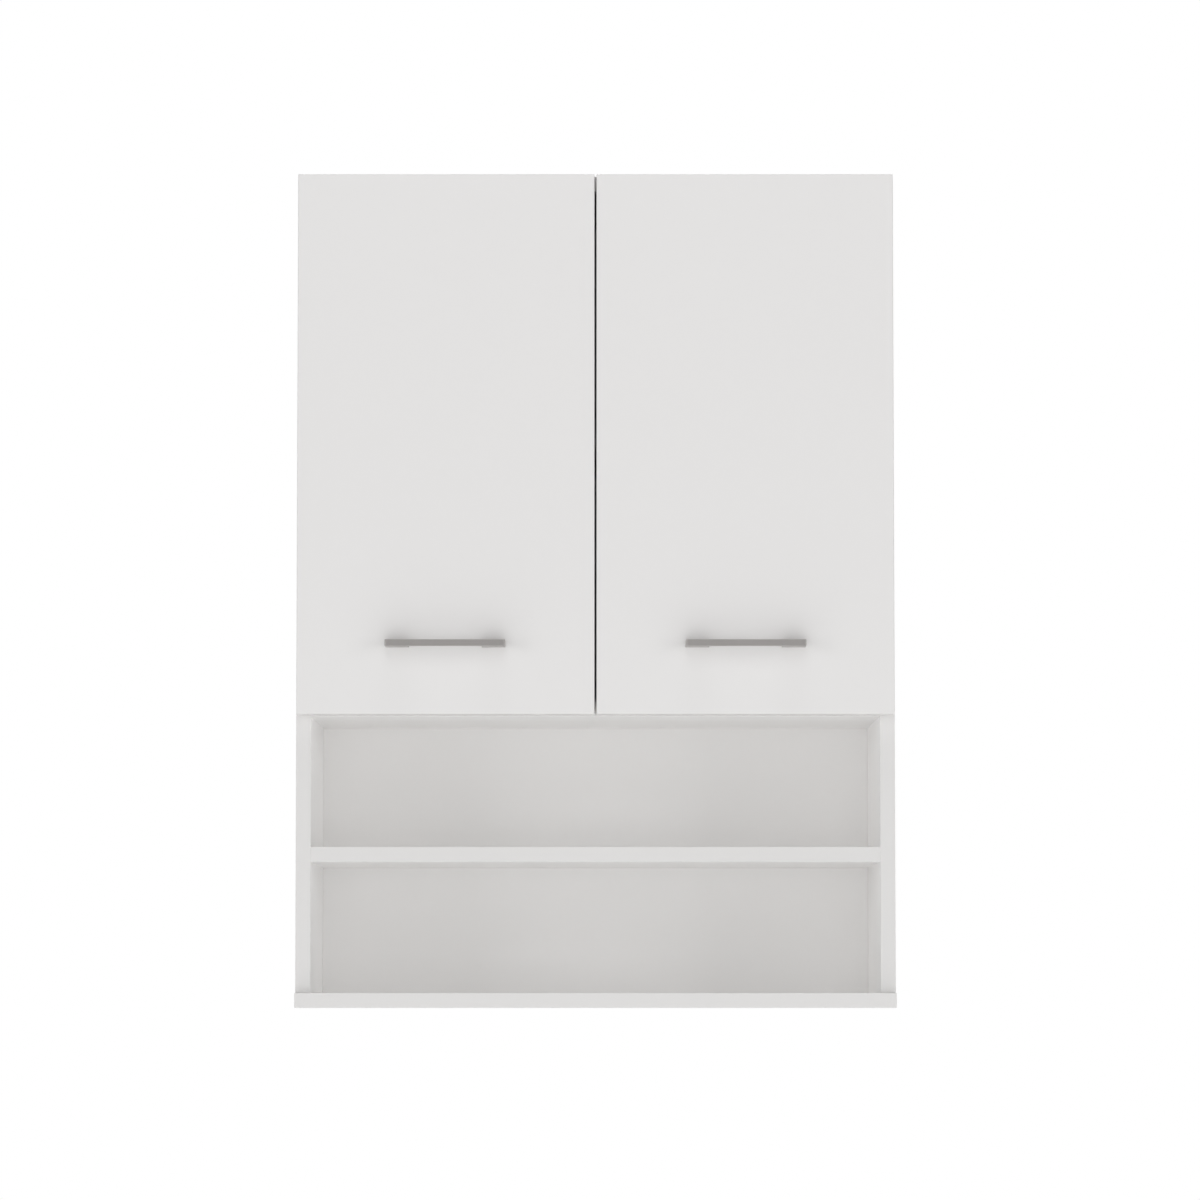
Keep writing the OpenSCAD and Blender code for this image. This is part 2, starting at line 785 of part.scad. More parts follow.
module door_board() {
    difference() {
        box(door_x0 + band_thickness, door_x1 - band_thickness, -cabinet_depth, door_back_y,
            door_z0 + band_thickness, cabinet_height - band_thickness);
        for (z = hinge_zs) {
            rod_y(cup_x, cup_y, door_back_y + cut, z, cup_radius);
            for (s = [-1, 1])
                rod_y(cup_x + flange_offset, door_back_y - flange_screw_depth,
                    door_back_y + cut, z + s * flange_spacing, flange_screw_radius);
        }
        for (s = [-1, 1])
            rod_y(door_mid_x + s * handle_spacing / 2, -cabinet_depth - cut,
                door_back_y + cut, handle_z, handle_screw_radius);
    }
}

module door_left() {
    color(white) door_board();
}

module door_right() {
    color(white) mirror([1, 0, 0]) door_board();
}

module door_bands() {
    difference() {
        box(door_x0, door_x1, -cabinet_depth, door_back_y, door_z0, cabinet_height);
        box(door_x0 + band_thickness, door_x1 - band_thickness, -cabinet_depth - cut,
            door_back_y + cut, door_z0 + band_thickness, cabinet_height - band_thickness);
    }
}

module door_left_bands() {
    color(edge_white) door_bands();
}

module door_right_bands() {
    color(edge_white) mirror([1, 0, 0]) door_bands();
}

// Handle: a bar on two broad feet
module handle() {
    x0 = door_mid_x - handle_length / 2;
    x1 = door_mid_x + handle_length / 2;
    y0 = -cabinet_depth - handle_projection;
    z0 = handle_z - handle_height / 2;
    z1 = handle_z + handle_height / 2;
    gap_y = y0 + handle_bar_depth;
    r = handle_outer_radius;
    ri = handle_inner_radius;
    difference() {
        union() {
            box(x0, x1, y0 + r, -cabinet_depth, z0, z1);
            box(x0 + r, x1 - r, y0, y0 + r + cut, z0, z1);
            rod_z(x0 + r, y0 + r, z0, z1, r);
            rod_z(x1 - r, y0 + r, z0, z1, r);
        }
        box(x0 + handle_foot, x1 - handle_foot, gap_y + ri, -cabinet_depth + cut,
            z0 - cut, z1 + cut);
        box(x0 + handle_foot + ri, x1 - handle_foot - ri, gap_y, gap_y + ri + cut,
            z0 - cut, z1 + cut);
        rod_z(x0 + handle_foot + ri, gap_y + ri, z0 - cut, z1 + cut, ri);
        rod_z(x1 - handle_foot - ri, gap_y + ri, z0 - cut, z1 + cut, ri);
        for (s = [-1, 1])
            rod_y(door_mid_x + s * handle_spacing / 2, -cabinet_depth - handle_screw_depth,
                -cabinet_depth + cut, handle_z, handle_screw_radius);
    }
}

module handle_left() {
    color(nickel) handle();
}

module handle_right() {
    color(nickel) mirror([1, 0, 0]) handle();
}

module handle_screws() {
    for (s = [-1, 1]) {
        rod_y(door_mid_x + s * handle_spacing / 2, -cabinet_depth - handle_screw_depth,
            door_back_y, handle_z, handle_screw_radius);
        rod_y(door_mid_x + s * handle_spacing / 2, door_back_y,
            door_back_y + handle_head_height, handle_z, handle_head_radius);
    }
}

module handle_screws_left() {
    color(zinc) handle_screws();
}

module handle_screws_right() {
    color(zinc) mirror([1, 0, 0]) handle_screws();
}

// Cup: a round pot with a flange for two screws and two cheeks that hold the pin
module cup(z) {
    y1 = door_back_y + flange_thickness;
    difference() {
        union() {
            rod_y(cup_x, cup_y, door_back_y, z, cup_radius);
            box(cup_x + flange_offset - flange_width, cup_x + flange_offset + flange_width,
                door_back_y, y1, z - flange_half, z + flange_half);
        }
        rod_y(cup_x, cup_y + cup_wall, y1 + cut, z, cup_radius - cup_wall);
        for (s = [-1, 1])
            rod_y(cup_x + flange_offset, door_back_y - cut, y1 + cut, z + s * flange_spacing,
                flange_screw_radius);
    }
    for (s = [-1, 1]) difference() {
        box(pin_x - cheek_outer, pin_x + cheek_inner, cup_y + cup_wall / 2,
            cup_y + cup_wall + cheek_height,
            z + s * (cheek_z0 + pin_half) / 2 - (pin_half - cheek_z0) / 2,
            z + s * (cheek_z0 + pin_half) / 2 + (pin_half - cheek_z0) / 2);
        rod_z(pin_x, pin_y, z - pin_half - cut, z + pin_half + cut, pin_radius + pin_fit);
    }
}

module hinge_cups_left() {
    color(steel) for (z = hinge_zs) cup(z);
}

module hinge_cups_right() {
    color(steel) mirror([1, 0, 0]) for (z = hinge_zs) cup(z);
}

module cup_pins() {
    for (z = hinge_zs) rod_z(pin_x, pin_y, z - pin_half, z + pin_half, pin_radius);
}

module hinge_cup_pins_left() {
    color(zinc) cup_pins();
}

module hinge_cup_pins_right() {
    color(zinc) mirror([1, 0, 0]) cup_pins();
}

module cup_screws() {
    y1 = door_back_y + flange_thickness;
    for (z = hinge_zs, s = [-1, 1]) {
        rod_y(cup_x + flange_offset, door_back_y - flange_screw_depth, y1,
            z + s * flange_spacing, flange_screw_radius);
        rod_y(cup_x + flange_offset, y1, y1 + cut, z + s * flange_spacing,
            flange_head_radius);
    }
}

module hinge_cup_screws_left() {
    color(zinc) cup_screws();
}

module hinge_cup_screws_right() {
    color(zinc) mirror([1, 0, 0]) cup_screws();
}

module bumpers() {
    for (z = [floor_z + board_thickness / 2 + 0.5, top_z + board_thickness / 2])
        rod_y(door_x1 - bumper_inset, door_back_y, front_y - bumper_play, z, bumper_radius);
}

module door_bumpers_left() {
    color(clear) bumpers();
}

module door_bumpers_right() {
    color(clear) mirror([1, 0, 0]) bumpers();
}

side_panel_left();
side_panel_right();
top_panel();
cabinet_floor();
niche_shelf();
bottom_panel();
back_panel();
edge_band_side_left();
edge_band_side_right();
edge_band_top();
edge_band_floor();
edge_band_niche_shelf();
edge_band_bottom();
cam_locks();
cam_bolts();
cam_cover_caps();
wooden_dowels();
bottom_screws();
bottom_screw_caps();
back_panel_screws();
hanger_left();
hanger_right();
hanger_hook_left();
hanger_hook_right();
hanger_screws();
wall_plate_left();
wall_plate_right();
hinge_plates_left();
hinge_plates_right();
hinge_plate_screws();
hinge_arms_left();
hinge_arms_right();
hinge_adjust_screws();
shelf_pins();
inner_shelf();
edge_band_inner_shelf();
door_left();
door_left_bands();
handle_left();
handle_screws_left();
hinge_cups_left();
hinge_cup_pins_left();
hinge_cup_screws_left();
door_bumpers_left();
door_right();
door_right_bands();
handle_right();
handle_screws_right();
hinge_cups_right();
hinge_cup_pins_right();
hinge_cup_screws_right();
door_bumpers_right();
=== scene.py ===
import math

import bmesh
import bpy
from mathutils import Matrix, Vector


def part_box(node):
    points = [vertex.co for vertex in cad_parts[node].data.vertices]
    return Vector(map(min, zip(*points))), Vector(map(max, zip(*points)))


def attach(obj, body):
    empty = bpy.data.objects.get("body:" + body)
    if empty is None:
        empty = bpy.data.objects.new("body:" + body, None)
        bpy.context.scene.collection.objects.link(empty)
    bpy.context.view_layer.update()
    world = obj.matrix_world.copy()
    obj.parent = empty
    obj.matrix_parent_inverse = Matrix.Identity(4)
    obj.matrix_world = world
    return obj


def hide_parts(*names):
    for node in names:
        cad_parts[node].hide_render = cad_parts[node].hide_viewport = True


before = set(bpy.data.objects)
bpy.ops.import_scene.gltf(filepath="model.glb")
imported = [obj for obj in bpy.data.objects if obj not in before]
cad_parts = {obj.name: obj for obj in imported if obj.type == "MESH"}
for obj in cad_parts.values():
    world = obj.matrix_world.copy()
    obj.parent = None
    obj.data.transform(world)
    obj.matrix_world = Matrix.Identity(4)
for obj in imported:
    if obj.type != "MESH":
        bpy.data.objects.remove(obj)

MM = 0.001
X, Y, Z = range(3)
SIDES = ("left", "right")
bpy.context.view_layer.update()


# ---------------------------------------------------------------- sizes

def low(node):
    """The lowest corner of a CAD node's box."""
    return Vector(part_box(node)[0])


def high(node):
    """The highest corner of a CAD node's box."""
    return Vector(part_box(node)[1])


CARCASS_FRONT = low("edge_band_side_left").y
BAND = low("side_panel_left").y - CARCASS_FRONT

# Tolerances for reading the CAD meshes: metres, degrees and decimal places of a metre
MERGE_REACH = 1e-6
TOUCH_REACH = 1e-5
FLAT_ANGLE = 0.5
PLACE_DIGITS = 5

# Faces and edges count as square, sharp or long from these on: cosine, degrees and metres
SQUARE = 0.999
NEARLY_SQUARE = 0.9
BOARD_SHARP = 80.0
HANDLE_SHARP = 60.0
FITTING_SHARP = 50.0
LONG_EDGE = 50 * MM
DEPTH_RUN = 10 * MM

# Shading is smooth across edges flatter than these, in degrees
BAND_SMOOTH = 35
FITTING_SMOOTH = 40
SCREW_SMOOTH = 35

# Radii of the softened edges of boards, bands and handles
BOARD_RADIUS = 0.25 * MM
BAND_RADIUS = 0.45 * MM
DOOR_BAND_RADIUS = 0.6 * MM
HANDLE_RADIUS = 0.25 * MM

# The screw holes in a handle's feet: how far they stay from its upper and lower faces and
# from its front, and the longest straight piece of their rims
HOLE_MARGIN = 0.5 * MM
HOLE_FROM_FRONT = 10 * MM
HOLE_RIM_STEP = 1.5 * MM

# Sides of a board's box: the axis, and 0 for its low or 1 for its high side
REAR = (Y, 1)
TOP = (Z, 1)


# ---------------------------------------------------------------- shader nodes

def connect(tree, node, **sources):
    """Links a node's named inputs from other sockets, or sets them to plain values."""
    for label, source in sources.items():
        socket = node.inputs[label.replace("_", " ")]
        if isinstance(source, bpy.types.NodeSocket):
            tree.links.new(source, socket)
        else:
            socket.default_value = source


def new_node(tree, kind, **sources):
    """A node with its named inputs connected."""
    node = tree.nodes.new(kind)
    connect(tree, node, **sources)
    return node


def noise(tree, vector, scale, detail, roughness, distortion=0.0):
    """The value of a noise texture."""
    node = new_node(tree, "ShaderNodeTexNoise", Vector=vector, Scale=scale, Detail=detail,
                    Roughness=roughness, Distortion=distortion)
    return node.outputs["Fac"]


def ramp(tree, factor, *stops):
    """The colour of a ramp. Each stop is a position from 0 to 1 and a grey or a colour."""
    node = new_node(tree, "ShaderNodeValToRGB", Fac=factor)
    elements = node.color_ramp.elements
    while len(elements) < len(stops):
        elements.new(0.5)
    for element, (position, colour) in zip(elements, stops):
        element.position = position
        colour = (colour,) * 3 if isinstance(colour, (int, float)) else colour
        element.color = (*colour, 1.0)
    return node.outputs["Color"]


def mix_colour(tree, factor, first, second, blend="MIX"):
    """The blend of two colours."""
    node = tree.nodes.new("ShaderNodeMix")
    node.data_type = "RGBA"
    node.blend_type = blend
    connect(tree, node, Factor=factor, A=first, B=second)
    return node.outputs["Result"]


def mix_shader(tree, factor, first, second, output):
    """Puts the blend of two shaders on the surface of an output node."""
    node = new_node(tree, "ShaderNodeMixShader", Fac=factor)
    tree.links.new(first, node.inputs[1])
    tree.links.new(second, node.inputs[2])
    connect(tree, output, Surface=node.outputs["Shader"])


# ---------------------------------------------------------------- node groups

def new_group(name, inputs, outputs):
    """An empty node group with named sockets: (socket type, name, default)."""
    tree = bpy.data.node_groups.new(name, "ShaderNodeTree")
    for kind, label, value in inputs:
        made = tree.interface.new_socket(label, in_out="INPUT", socket_type=kind)
        if value is not None:
            made.default_value = value
    for kind, label in outputs:
        tree.interface.new_socket(label, in_out="OUTPUT", socket_type=kind)
    given = tree.nodes.new("NodeGroupInput").outputs
    return tree, given, tree.nodes.new("NodeGroupOutput")


def relief_group():
    """Fine relief of a pressed or moulded surface: a height and a mask."""
    tree, given, end = new_group("fine relief", [
        ("NodeSocketVector", "Vector", None),
        ("NodeSocketFloat", "Grain", 900.0),
        ("NodeSocketFloat", "Waviness", 18.0),
        ("NodeSocketFloat", "Wave share", 0.3),
    ], [("NodeSocketFloat", "Height"), ("NodeSocketFloat", "Mask")])
    fine = noise(tree, given["Vector"], given["Grain"], detail=3.0, roughness=0.6)
    wave = noise(tree, given["Vector"], given["Waviness"], detail=1.0, roughness=0.4)
    height = new_node(tree, "ShaderNodeMix", Factor=given["Wave share"], A=fine, B=wave)
    connect(tree, end, Height=height.outputs["Result"], Mask=wave)
    return tree


def handling_group():
    """Faint marks of handling and dust: a mask that is 0 where the surface is clean."""
    tree, given, end = new_group("handling marks", [
        ("NodeSocketVector", "Vector", None),
        ("NodeSocketFloat", "Size", 6.0),
        ("NodeSocketFloat", "Amount", 0.3),
    ], [("NodeSocketFloat", "Mask")])
    cloud = noise(tree, given["Vector"], given["Size"], detail=5.0, roughness=0.65,
                  distortion=0.4)
    amount = tree.nodes.new("ShaderNodeMath")
    amount.operation = "MULTIPLY"
    tree.links.new(ramp(tree, cloud, (0.42, 0.0), (0.72, 1.0)), amount.inputs[0])
    tree.links.new(given["Amount"], amount.inputs[1])
    connect(tree, end, Mask=amount.outputs["Value"])
    return tree


RELIEF = relief_group()
HANDLING = handling_group()


# ---------------------------------------------------------------- materials

def use_group(tree, group, vector, **values):
    """The outputs of a node group placed in a material, with its own values."""
    node = tree.nodes.new("ShaderNodeGroup")
    node.node_tree = group
    connect(tree, node, Vector=vector, **values)
    return node.outputs


def object_vector(tree, stretch=(1, 1, 1)):
    """Object coordinates, scaled along each axis."""
    place = tree.nodes.new("ShaderNodeTexCoord")
    mapping = new_node(tree, "ShaderNodeMapping", Vector=place.outputs["Object"],
                       Scale=stretch)
    return mapping.outputs["Vector"]


def blank_material(name, **values):
    """A Principled material with its plain values set: (material, tree, shader)."""
    made = bpy.data.materials.new(name)
    made.use_nodes = True
    tree = made.node_tree
    shader = tree.nodes["Principled BSDF"]
    connect(tree, shader, **values)
    return made, tree, shader


def vary_tone(tree, shader, mask, clean, marked):
    """Base colour that goes from clean to marked where the mask says."""
    tone = mix_colour(tree, mask, (*clean, 1), (*marked, 1))
    connect(tree, shader, Base_Color=tone)


def vary_gloss(tree, shader, value, roughness, span=(0.0, 1.0)):
    """Roughness that follows a value from one end of its span to the other."""
    gloss = new_node(tree, "ShaderNodeMapRange", Value=value, From_Min=span[0],
                     From_Max=span[1], To_Min=roughness[0], To_Max=roughness[1])
    connect(tree, shader, Roughness=gloss.outputs["Result"])


def add_relief(tree, shader, height, depth):
    """Bump of the surface from a height between 0 and 1, over a depth in metres."""
    bump = new_node(tree, "ShaderNodeBump", Height=height, Distance=depth)
    connect(tree, shader, Normal=bump.outputs["Normal"])


def coated(name, clean, marked, roughness, grain, waviness, wave_share, depth, coat=0.0):
    """A smooth pale surface: faint tone, uneven gloss and a pressed relief."""
    made, tree, shader = blank_material(name, Coat_Weight=coat, Coat_Roughness=0.12)
    vector = object_vector(tree)
    relief = use_group(tree, RELIEF, vector, Grain=grain, Waviness=waviness,
                       Wave_share=wave_share)
    marks = use_group(tree, HANDLING, vector, Size=5.0, Amount=0.25)
    vary_tone(tree, shader, marks["Mask"], clean, marked)
    vary_gloss(tree, shader, relief["Mask"], roughness)
    add_relief(tree, shader, relief["Height"], depth)
    return made


def metal(name, clean, marked, roughness, stretch, grain, depth):
    """Plated or brushed metal: streaks along one way, cloudy gloss and a fine relief."""
    made, tree, shader = blank_material(name, Metallic=1.0)
    streaks = noise(tree, object_vector(tree, stretch), grain, detail=4.0, roughness=0.6)
    marks = use_group(tree, HANDLING, object_vector(tree), Size=45.0, Amount=0.7)
    vary_tone(tree, shader, marks["Mask"], clean, marked)
    vary_gloss(tree, shader, streaks, roughness, span=(0.3, 0.7))
    add_relief(tree, shader, streaks, depth)
    return made


def chipboard():
    """The sawn edge of chipboard: packed chips of different tones with small pits."""
    made, tree, shader = blank_material("raw chipboard", Roughness=0.85)
    vector = object_vector(tree, stretch=(1.0, 1.0, 1.6))
    chips = new_node(tree, "ShaderNodeTexVoronoi", Vector=vector, Scale=420.0,
                     Randomness=1.0)
    fibre = noise(tree, vector, scale=1300.0, detail=4.0, roughness=0.7)
    tones = ramp(tree, chips.outputs["Color"],
                 (0.0, (0.26, 0.17, 0.095)), (0.35, (0.46, 0.33, 0.20)),
                 (0.75, (0.60, 0.46, 0.30)), (1.0, (0.70, 0.57, 0.40)))
    fine = ramp(tree, fibre, (0.3, 0.45), (0.65, 1.0))
    shade = mix_colour(tree, factor=0.5, first=tones, second=fine, blend="MULTIPLY")
    connect(tree, shader, Base_Color=shade)
    add_relief(tree, shader, fibre, depth=0.3 * MM)
    return made


def hardboard():
    """The bare brown rear face of the back panel, fibrous and slightly cloudy."""
    made, tree, shader = blank_material("bare hardboard", Roughness=0.7)
    vector = object_vector(tree)
    fibre = noise(tree, vector, scale=650.0, detail=6.0, roughness=0.75, distortion=1.2)
    cloud = noise(tree, vector, scale=14.0, detail=4.0, roughness=0.6)
    tones = ramp(tree, fibre, (0.3, (0.20, 0.12, 0.066)), (0.55, (0.30, 0.19, 0.11)),
                 (0.8, (0.40, 0.27, 0.165)))
    wash = ramp(tree, cloud, (0.3, 0.82), (0.7, 1.0))
    shade = mix_colour(tree, factor=1.0, first=tones, second=wash, blend="MULTIPLY")
    connect(tree, shader, Base_Color=shade)
    add_relief(tree, shader, fibre, depth=0.15 * MM)
    return made


def beech():
    """Raw turned beech with its short dark flecks."""
    made, tree, shader = blank_material("raw beech", Roughness=0.65)
    vector = object_vector(tree, stretch=(0.12, 1.0, 1.0))
    flecks = noise(tree, vector, scale=1100.0, detail=3.0, roughness=0.6)
    tones = ramp(tree, flecks, (0.35, (0.44, 0.26, 0.13)), (0.5, (0.60, 0.40, 0.22)),
                 (0.8, (0.68, 0.48, 0.29)))
    connect(tree, shader, Base_Color=tones)
    return made


BOARD = coated("white melamine", clean=(0.962, 0.957, 0.952), marked=(0.955, 0.949, 0.943),
               roughness=(0.36, 0.46), grain=1500.0, waviness=30.0, wave_share=0.25,
               depth=0.06 * MM)
DOOR = coated("white door foil", clean=(0.862, 0.852, 0.845), marked=(0.853, 0.842, 0.835),
              roughness=(0.30, 0.38), grain=700.0, waviness=22.0, wave_share=0.55,
              depth=0.04 * MM, coat=0.1)
BANDING = coated("white edge banding", clean=(0.805, 0.796, 0.787),
                 marked=(0.792, 0.782, 0.773), roughness=(0.33, 0.42), grain=1100.0,
                 waviness=60.0, wave_share=0.35, depth=0.05 * MM)
LACQUER = coated("white lacquered hardboard", clean=(0.900, 0.894, 0.888),
                 marked=(0.888, 0.881, 0.874), roughness=(0.42, 0.52), grain=900.0,
                 waviness=26.0, wave_share=0.2, depth=0.08 * MM)
CAP = coated("white plastic cap", clean=(0.83, 0.825, 0.815), marked=(0.80, 0.79, 0.78),
             roughness=(0.32, 0.45), grain=1600.0, waviness=200.0, wave_share=0.3,
             depth=0.03 * MM)
HANGER = coated("pale grey plastic", clean=(0.60, 0.60, 0.59), marked=(0.55, 0.55, 0.54),
                roughness=(0.38, 0.5), grain=1800.0, waviness=120.0, wave_share=0.25,
                depth=0.08 * MM)
BUMPER = coated("clear soft bumper", clean=(0.72, 0.74, 0.74), marked=(0.66, 0.68, 0.68),
                roughness=(0.12, 0.22), grain=800.0, waviness=100.0, wave_share=0.4,
                depth=0.02 * MM)
NICKEL = metal("satin nickel", clean=(0.50, 0.477, 0.467), marked=(0.465, 0.443, 0.434),
               roughness=(0.40, 0.50), stretch=(0.03, 1.0, 1.0), grain=700.0,
               depth=0.006 * MM)
HINGE_STEEL = metal("nickel plated steel", clean=(0.66, 0.65, 0.63),
                    marked=(0.55, 0.54, 0.53), roughness=(0.16, 0.26),
                    stretch=(0.2, 1.0, 1.0), grain=500.0, depth=0.01 * MM)
ZINC = metal("bright zinc", clean=(0.62, 0.64, 0.67), marked=(0.50, 0.52, 0.55),
             roughness=(0.24, 0.42), stretch=(1.0, 1.0, 1.0), grain=800.0, depth=0.02 * MM)
CAST_ZINC = metal("cast zinc", clean=(0.42, 0.42, 0.43), marked=(0.32, 0.32, 0.33),
                  roughness=(0.45, 0.62), stretch=(1.0, 1.0, 1.0), grain=900.0,
                  depth=0.06 * MM)
CHIPBOARD = chipboard()
HARDBOARD = hardboard()
BEECH = beech()


# ---------------------------------------------------------------- mesh helpers

def node_copy(node):
    """A CAD node's mesh, merged, with its flat faces joined up again."""
    bm = bmesh.new()
    bm.from_mesh(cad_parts[node].data)
    bmesh.ops.remove_doubles(bm, verts=bm.verts, dist=MERGE_REACH)
    bmesh.ops.dissolve_limit(bm, angle_limit=math.radians(FLAT_ANGLE), verts=bm.verts,
                             edges=bm.edges)
    return bm


def sharp_edges(bm, angle):
    """The edges where two faces meet at more than an angle, in degrees."""
    return [e for e in bm.edges
            if len(e.link_faces) == 2 and e.calc_face_angle(0) > math.radians(angle)]


def round_edges(bm, edges, width, segments=3):
    """Rounds edges off over a width on each side."""
    bmesh.ops.bevel(bm, geom=edges, offset=width, offset_type="OFFSET", affect="EDGES",
                    segments=segments, profile=0.5, material=-1, clamp_overlap=True)


def is_edge_at(edge, axis, place):
    """True for an edge whose two ends lie at a place along an axis."""
    return all(abs(v.co[axis] - place) < TOUCH_REACH for v in edge.verts)


def on_outer_face(f, lo, hi):
    """True for a face that lies on the box between two corners."""
    middle = f.calc_center_median()
    axis = max(range(3), key=lambda i: abs(f.normal[i]))
    reach = min(abs(middle[axis] - lo[axis]), abs(middle[axis] - hi[axis]))
    return abs(f.normal[axis]) > SQUARE and reach < TOUCH_REACH


def between_outer_faces(edge, lo, hi):
    """True for an edge whose faces both lie on the box between two corners."""
    return all(on_outer_face(f, lo, hi) for f in edge.link_faces)


def mesh_object(name, bm):
    """Makes a bmesh an object of the scene."""
    mesh = bpy.data.meshes.new(name)
    bm.to_mesh(mesh)
    bm.free()
    made = bpy.data.objects.new(name, mesh)
    bpy.context.scene.collection.objects.link(made)
    return made


def add_piece(name, bm, materials, body, slot, *nodes, smooth=None):
    """Makes a bmesh a finished piece that stands for CAD nodes and rides on a body."""
    bm.normal_update()
    made = mesh_object(name, bm)
    for material in materials:
        made.data.materials.append(material)
    if smooth is not None:
        made.data.shade_smooth()
        made.data.set_sharp_from_angle(angle=math.radians(smooth))
        made.modifiers.new("face weighted normals", "WEIGHTED_NORMAL").keep_sharp = True
    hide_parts(*nodes)
    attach(made, body)


# ---------------------------------------------------------------- boards

def board(node, body, slot, face, is_raw, rounded=()):
    """A coated board. is_raw(face, lo, hi) is true for a face that shows the bare core."""
    bm = node_copy(node)
    lo, hi = low(node), high(node)
    for f in bm.faces:
        f.material_index = 1 if is_raw(f, lo, hi) else 0
    edges = [e for e in sharp_edges(bm, BOARD_SHARP) if e.calc_length() > LONG_EDGE
             and any(is_edge_at(e, axis, (lo, hi)[end][axis]) for axis, end in rounded)
             and not is_edge_at(e, Y, lo.y)]
    if edges:
        round_edges(bm, edges, BOARD_RADIUS, segments=2)
    add_piece(node + "_board", bm, [face, CHIPBOARD], body, slot, node)


def raw_door(f, lo, hi):
    """The hinge cups' bores and the handle's screw holes are bare."""
    return not on_outer_face(f, lo, hi)


def raw_drilled(f, lo, hi):
    """Bores, pockets, grooves and the rear edge are bare."""
    return not on_outer_face(f, lo, hi) or f.normal.y > NEARLY_SQUARE


def raw_side(f, lo, hi):
    """A side panel also has bare upper and lower ends."""
    return raw_drilled(f, lo, hi) or abs(f.normal.z) > NEARLY_SQUARE


def make_boards():
    """The two doors, the shelves and the other panels, except the back."""
    for side in SIDES:
        board("side_panel_" + side, "carcass", "white_board", BOARD, raw_side,
              rounded=(TOP, REAR))
        board("door_" + side, side + "_door", "door_board", DOOR, raw_door)
    for node in ("top_panel", "cabinet_floor", "niche_shelf", "bottom_panel"):
        board(node, "carcass", "white_board", BOARD, raw_drilled, rounded=(REAR,))
    board("inner_shelf", "shelf", "white_board", BOARD, raw_drilled, rounded=(REAR,))


def make_back():
    """The back panel: lacquered towards the room, bare towards the wall."""
    bm = node_copy("back_panel")
    for f in bm.faces:
        f.material_index = 0 if f.normal.y < -NEARLY_SQUARE else 1
    add_piece("back_panel_sheet", bm, [LACQUER, HARDBOARD], "carcass", "back_board",
              "back_panel")


# ---------------------------------------------------------------- edge bands

def band(node, body, is_scraped, radius):
    """Edge banding. is_scraped(edge, lo, hi) is true for an edge that is scraped round."""
    bm = node_copy(node)
    lo, hi = low(node), high(node)
    scraped = [e for e in sharp_edges(bm, BOARD_SHARP)
               if between_outer_faces(e, lo, hi) and is_scraped(e, lo, hi)]
    round_edges(bm, scraped, radius)
    add_piece(node + "_strip", bm, [BANDING], body, "edge_band", node, smooth=BAND_SMOOTH)


def scraped_on_board(edge, lo, hi):
    """A board's band: its front edges and the long ones that run back along a side."""
    run = abs((edge.verts[0].co - edge.verts[1].co).y)
    return edge.calc_length() > 2 * BAND and (is_edge_at(edge, Y, lo.y) or run > DEPTH_RUN)


def scraped_on_door(edge, lo, hi):
    """A door's band: every edge of its outline, in front and behind."""
    return any(is_edge_at(edge, axis, corner[axis])
               for axis in (X, Z) for corner in (lo, hi))


def make_bands():
    """The bands of the carcass, the inner shelf and the doors."""
    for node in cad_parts:
        if node.startswith("edge_band"):
            body = "shelf" if "inner_shelf" in node else "carcass"
            band(node, body, scraped_on_board, BAND_RADIUS)
    for side in SIDES:
        band("door_" + side + "_bands", side + "_door", scraped_on_door, DOOR_BAND_RADIUS)


# ---------------------------------------------------------------- handles

def in_screw_hole(edge, lo, hi):
    """True for the edges of the screw holes in a handle's feet."""
    middle = (edge.verts[0].co + edge.verts[1].co) / 2
    inside = lo.z + HOLE_MARGIN < middle.z < hi.z - HOLE_MARGIN
    behind = middle.y > lo.y + HOLE_FROM_FRONT
    return inside and behind and edge.calc_length() < HOLE_RIM_STEP


def make_handles():
    """Bridge handles with softened edges, except against the door and in the holes."""
    for side in SIDES:
        node = "handle_" + side
        bm = node_copy(node)
        lo, hi = low(node), high(node)
        edges = [e for e in sharp_edges(bm, HANDLE_SHARP)
                 if not is_edge_at(e, Y, hi.y) and not in_screw_hole(e, lo, hi)]
        round_edges(bm, edges, HANDLE_RADIUS)
        add_piece(node + "_bar", bm, [NICKEL], side + "_door", "satin_nickel", node,
                  smooth=FITTING_SMOOTH)


# ---------------------------------------------------------------- fittings

# Each fitting: node, slot, material, width of its rounded edges and their segments
CARCASS_FITTINGS = (
    ("cam_locks", "cast_zinc", CAST_ZINC, 0.3 * MM, 2),
    ("cam_bolts", "screw_steel", ZINC, 0.2 * MM, 2),
    ("cam_cover_caps", "cover_cap", CAP, 0.25 * MM, 3),
    ("bottom_screw_caps", "cover_cap", CAP, 0.25 * MM, 3),
    ("bottom_screws", "screw_steel", ZINC, 0.2 * MM, 2),
    ("wooden_dowels", "beech", BEECH, 0.8 * MM, 2),
    ("shelf_pins", "screw_steel", ZINC, 0.4 * MM, 2),
)
# The same for fittings with one node for each side of the cabinet
SIDE_FITTINGS = (
    ("hanger_", "hanger_plastic", HANGER, 0.8 * MM, 3),
    ("hanger_hook_", "zinc_plate", ZINC, 0.4 * MM, 2),
    ("wall_plate_", "zinc_plate", ZINC, 0.3 * MM, 2),
    ("hinge_plates_", "nickel_steel", HINGE_STEEL, 0.35 * MM, 2),
    ("hinge_arms_", "nickel_steel", HINGE_STEEL, 0.25 * MM, 2),
)
# The same for fittings that ride on the doors
DOOR_FITTINGS = (
    ("hinge_cups_", "nickel_steel", HINGE_STEEL, 0.15 * MM, 2),
    ("hinge_cup_pins_", "screw_steel", ZINC, 0.15 * MM, 2),
    ("door_bumpers_", "clear_bumper", BUMPER, 0.5 * MM, 3),
)


